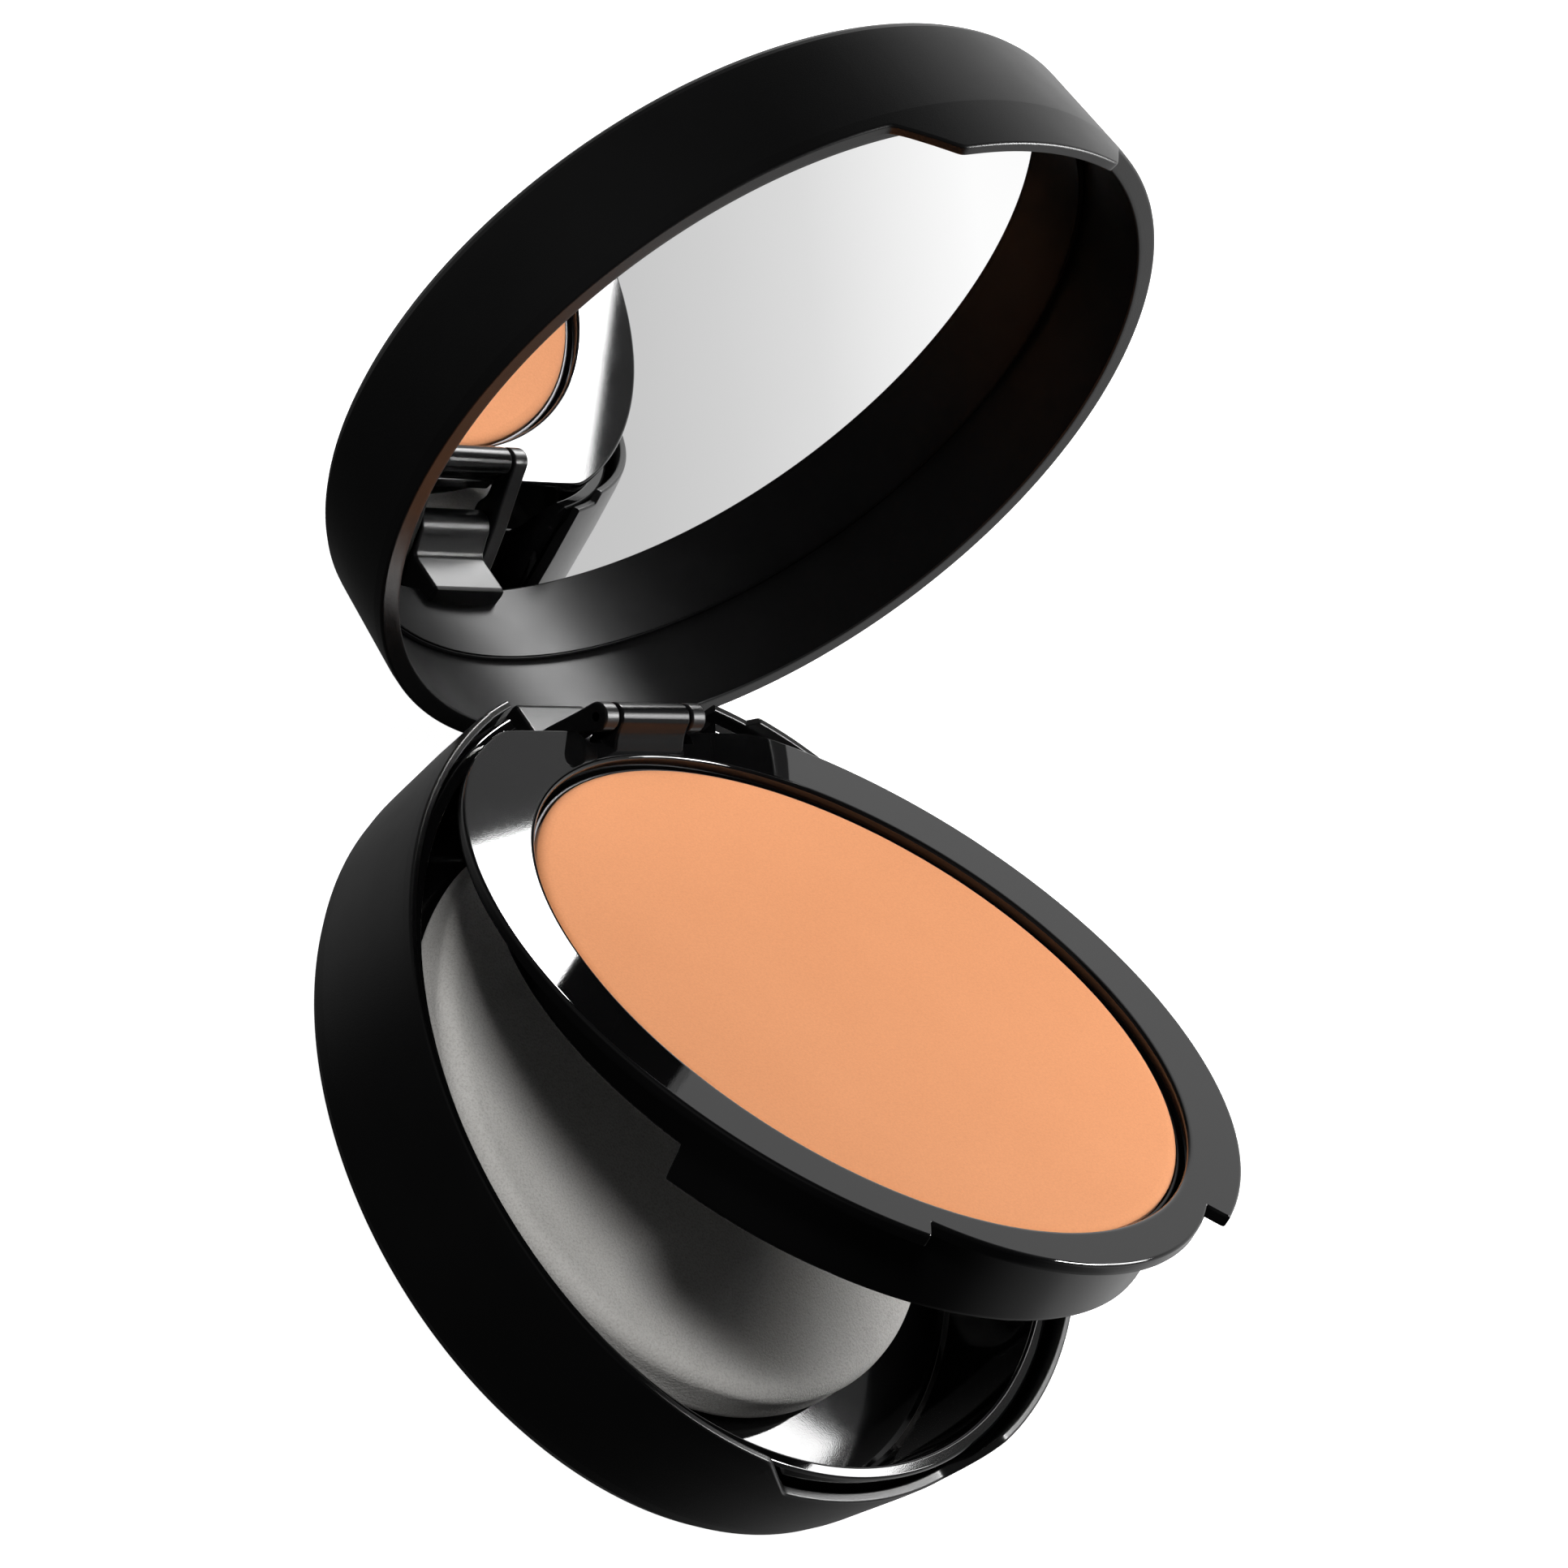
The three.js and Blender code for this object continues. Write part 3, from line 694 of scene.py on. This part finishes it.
def lid_profile(p):
    g = 1.0 - slope(p, LIP, Z_LIP, Z_LID)
    zl = Z_LID - (Z_LID - Z_LIP) * g
    pts = [(0, ZM + 1.8), (35.9, ZM + 1.8), (36.12, ZM + 1.74), (36.2, ZM + 1.6)]
    pts += line((36.2, ZM + 1.6), (36.2, Z_LID + 0.22), 8)
    pts += [(36.2 + 0.2 * (1 - math.cos(a)), Z_LID + 0.2 - 0.2 * math.sin(a)) for a in (math.radians(d) for d in (0, 22, 45, 68, 90))]
    pts += [(36.7, Z_LID), (36.96, Z_LID)]
    pts += [(37.0, Z_LID + (zl - Z_LID) * t - 0.0) for t in (0.06, 0.5, 0.9)]
    e = 0.25
    pts += [(37.06, zl + 0.03 * g), (37.14, zl), (38.0 - e, zl)]
    pts += [(38.0 - e + e * math.sin(a), zl + e - e * math.cos(a)) for a in (math.radians(d) for d in (22, 45, 68, 90))]
    pts += line((38.0, zl + e), (38.0, Z_LID + 1.2), 4)
    pts += [(38.0, Z_LID + 1.2)]
    pts += line((38.0, Z_LID + 1.2), (37.35, ZT - 2.0), 8)
    q = [(37.35, ZT - 2.0), (37.3, ZT - 1.55), (37.12, ZT - 1.1), (36.85, ZT - 0.72), (36.48, ZT - 0.4), (36.0, ZT - 0.16), (35.4, ZT - 0.01), (34.3, ZT + 0.06)]
    pts += q
    pts += [(r, ZT + 0.4 - 0.34 * (r / 34.0) ** 2) for r in (31, 27, 22, 16, 10, 5)]
    pts += [(0, ZT + 0.4)]
    return pts


cap = revolve(lid_profile, azimuths(300, *[180 + a for a in LIP_A], *[360 - a for a in LIP_A]))
BLOCK = [(34.4, 18.0), (37.3, 18.0), (37.3, 13.4), (36.7, 11.6), (35.4, 10.3), (33.6, 9.85)] + circle_outline(LID_PIN, 1.6, 250, 100, 12) + [(34.4, 13.8)]
block = slab(rounded(BLOCK, 0.5, 2), -X_BLOCK, X_BLOCK, r=0.25)
lid_ob = make("lid_case", *joined(cap, block), "lid", CASE, ["lid_shell"], "case_black", flip_check=False)
# the inside of the lid is a little smoother than the outside
lid_ob.data.materials.append(LID_IN)
inside = POSE["lid"](np.array([[0, 0, Z_LID], [0, 0, Z_LID + 1]])) * MM
axis = inside[1] - inside[0]
for f in lid_ob.data.polygons:
    c = np.array(f.center) - inside[0]
    d = float(c @ axis) / float(axis @ axis)
    r = float(np.linalg.norm(c - axis * d)) / MM
    if 0.1 < d < D_MIRROR + 1.85 and r < 36.35:
        f.material_index = 1

ring = [(35.75, ZM + 0.1), (35.79, ZM + 0.06), (36.06, ZM + 0.06), (36.1, ZM + 0.1), (36.1, ZM + 1.65), (34.0, ZM + 1.65), (34.0, ZM + 1.25), (35.75, ZM + 1.25)]
make("mirror_ring", *revolve(lambda p: ring, [i * 1.5 for i in range(240)], closed=True), "lid", LID_IN, ["lid_liner"], "inner_black")
glass = [(0, ZM + 0.05), (35.5, ZM + 0.05), (35.6, ZM + 0.1), (35.65, ZM + 0.2), (35.65, ZM + 1.0), (35.55, ZM + 1.1), (0, ZM + 1.1)]
make("mirror_disc", *revolve(lambda p: glass, [i * 1.5 for i in range(240)]), "lid", MIRROR, ["mirror_glass"], "mirror", sharp=15)

# ------------------------------------------------------------------ kept CAD nodes
for node, mat in (("base_label", LABEL), ("pan_adhesive", TAPE), ("mirror_pad", PAD)):
    ob = frame["nodes"][node]
    ob.data.materials.clear()
    ob.data.materials.append(mat)

# ------------------------------------------------------------------ stage
me = bpy.data.meshes.new("studio_floor")
me.from_pydata([(-4, -4, -0.0002), (4, -4, -0.0002), (4, 4, -0.0002), (-4, 4, -0.0002)], [], [(0, 1, 2, 3)])
floor = bpy.data.objects.new("studio_floor", me)
scene.collection.objects.link(floor)
fm, nt, bs, tc = material("studio_floor_white")
bs.inputs["Base Color"].default_value = (0.9, 0.9, 0.9, 1)
bs.inputs["Roughness"].default_value = 0.95
bs.inputs["Specular IOR Level"].default_value = 0.1
bs.inputs["Emission Color"].default_value = (1, 1, 1, 1)
bs.inputs["Emission Strength"].default_value = 0.985
me.materials.append(fm)
floor.visible_glossy = False
floor.visible_diffuse = False


def studio_world():
    """A dark studio with one pale side: white to the camera, a soft gradient in reflections."""
    w = bpy.data.worlds.new("studio")
    scene.world = w
    w.use_nodes = True
    nt = w.node_tree
    nt.nodes.clear()
    out = nt.nodes.new("ShaderNodeOutputWorld")
    bg = nt.nodes.new("ShaderNodeBackground")
    nt.links.new(bg.outputs[0], out.inputs[0])
    tc = nt.nodes.new("ShaderNodeTexCoord")
    sep = nt.nodes.new("ShaderNodeSeparateXYZ")
    nt.links.new(tc.outputs["Generated"], sep.inputs[0])

    def rng(src, a, b, lo, hi, kind="SMOOTHSTEP"):
        m = nt.nodes.new("ShaderNodeMapRange")
        m.interpolation_type = kind
        for k, v in (("From Min", a), ("From Max", b), ("To Min", lo), ("To Max", hi)):
            m.inputs[k].default_value = v
        nt.links.new(src, m.inputs[0])
        return m.outputs[0]

    def mth(op, a, b):
        m = nt.nodes.new("ShaderNodeMath")
        m.operation = op
        for i, v in enumerate((a, b)):
            if isinstance(v, (int, float)):
                m.inputs[i].default_value = v
            else:
                nt.links.new(v, m.inputs[i])
        return m.outputs[0]

    side = rng(sep.outputs[0], 0.20, 0.70, 0.0, 1.0)
    z01 = rng(sep.outputs[2], -1, 1, 0, 1, "LINEAR")
    grad = ramp(nt, z01, [(0.5 + z / 2, (v, v, v)) for z, v in HEIGHTS])
    f = mth("ADD", mth("MULTIPLY", sep.outputs[1], 1.6), sep.outputs[2])
    sweep = ramp(nt, rng(f, -1.30, -1.20, 0, 1, "LINEAR"), [(0.0, (0.70,) * 3), (0.2, (0.745,) * 3), (0.4, (0.84,) * 3), (0.58, (0.95,) * 3), (0.75, (1.14,) * 3), (0.92, (1.32,) * 3)])
    rear = mth("MULTIPLY", rng(sep.outputs[1], 0.45, 0.85, 0.0, 1.0), rng(sep.outputs[2], -0.95, -0.2, 0.5, 0.08))
    left = mth("MULTIPLY", rng(sep.outputs[0], -0.2, -0.9, 0.0, 1.0), rng(sep.outputs[2], -0.6, 0.3, 0.03, 0.14))
    e = mth("ADD", mth("ADD", mth("MULTIPLY", mth("MULTIPLY", side, grad.outputs[0]), sweep.outputs[0]), rear), mth("ADD", left, 0.03))
    lp = nt.nodes.new("ShaderNodeLightPath")
    lit = nt.nodes.new("ShaderNodeMix")
    lit.data_type = "FLOAT"
    nt.links.new(lp.outputs["Is Diffuse Ray"], lit.inputs[0])
    nt.links.new(e, lit.inputs[2])
    lit.inputs[3].default_value = AMBIENT
    seen = nt.nodes.new("ShaderNodeMix")
    seen.data_type = "FLOAT"
    nt.links.new(lp.outputs["Is Camera Ray"], seen.inputs[0])
    nt.links.new(lit.outputs[0], seen.inputs[2])
    seen.inputs[3].default_value = 1.0
    nt.links.new(seen.outputs[0], bg.inputs[1])


HEIGHTS = ((-1.0, 0.03), (-0.7, 0.10), (-0.55, 0.35), (-0.42, 0.85), (-0.34, 0.98), (-0.1, 0.9), (0.1, 0.72), (0.3, 0.6), (0.55, 0.25), (1.0, 0.04))
AMBIENT = 0.05
studio_world()


def area(name, loc, target, size, power, size_y=None, spin=0.0, glossy=True):
    l = bpy.data.lights.new(name, "AREA")
    l.shape = "RECTANGLE"
    l.size = size
    l.size_y = size_y or size
    l.energy = power
    o = bpy.data.objects.new(name, l)
    scene.collection.objects.link(o)
    o.location = loc
    q = (Vector(target) - Vector(loc)).to_track_quat("-Z", "Y")
    o.rotation_euler = (q.to_matrix() @ Matrix.Rotation(spin, 3, "Z")).to_euler()
    o.visible_camera = False
    o.visible_glossy = glossy
    return o


def panel(name, origin, direction, dist, e_span, n_span, spin, radiance):
    """A flat softbox facing back along a reflected ray; spans are mm in its own turned axes."""
    d = Vector(direction).normalized()
    u = Vector((0, 0, 1)).cross(d).normalized()
    v = d.cross(u)
    c, s = math.cos(spin), math.sin(spin)
    e, n = u * c + v * s, v * c - u * s
    ce, cn = sum(e_span) / 2, sum(n_span) / 2
    base = Vector(origin) + d * dist
    w, h = (e_span[1] - e_span[0]) * MM, (n_span[1] - n_span[0]) * MM
    l = bpy.data.lights.new(name, "AREA")
    l.shape = "RECTANGLE"
    l.size, l.size_y = w, h
    l.energy = radiance * w * h * math.pi
    o = bpy.data.objects.new(name, l)
    scene.collection.objects.link(o)
    m = Matrix((e, n, d)).transposed()
    # an area light shines along its own -Z, which here is back at the object
    o.matrix_world = Matrix.Translation((base + e * ce + n * cn) * MM) @ m.to_4x4()
    o.visible_camera = False
    o.visible_diffuse = False
    return o


panel("right_softbox", (0, 0, 0), (0.73, -0.32, 0.60), 200.0, (28.0, 72.0), (-7.4, 60.0), math.radians(30.6), 18.0)
panel("front_softbox", (0, 0, 0), (0.745, 0.216, 0.632), 200.0, (-28.0, 8.0), (14.2, 48.0), math.radians(25), 18.0)
panel("hinge_glow", (3, 43, 6), (0.52, -0.27, 0.80), 260.0, (-32.0, 32.0), (-25.0, 25.0), 0.0, 70.0)
area("key_softbox", (-0.46, 0.03, 0.60), (0, 0, 0.02), 0.14, 2.7, 0.14, glossy=False)
area("top_softbox", (0.14, 0.0, 0.17), (0.01, -0.01, 0.03), 0.10, 0.34, 0.10, glossy=False)

# ------------------------------------------------------------------ camera
cam = bpy.data.cameras.new("photo_camera")
cam.sensor_width = 36
cam.lens = 167.7019
cam.clip_start, cam.clip_end = 0.01, 20
co = bpy.data.objects.new("photo_camera", cam)
scene.collection.objects.link(co)
co.matrix_world = Matrix((
    (0.6655007, -0.0045620, -0.7463833, -0.4609880),
    (-0.3273567, 0.8968902, -0.2973643, -0.1631367),
    (0.6707805, 0.4422297, 0.5953876, 0.3973783),
    (0, 0, 0, 1)))
scene.camera = co
scene.view_settings.view_transform = "Standard"
scene.view_settings.look = "None"
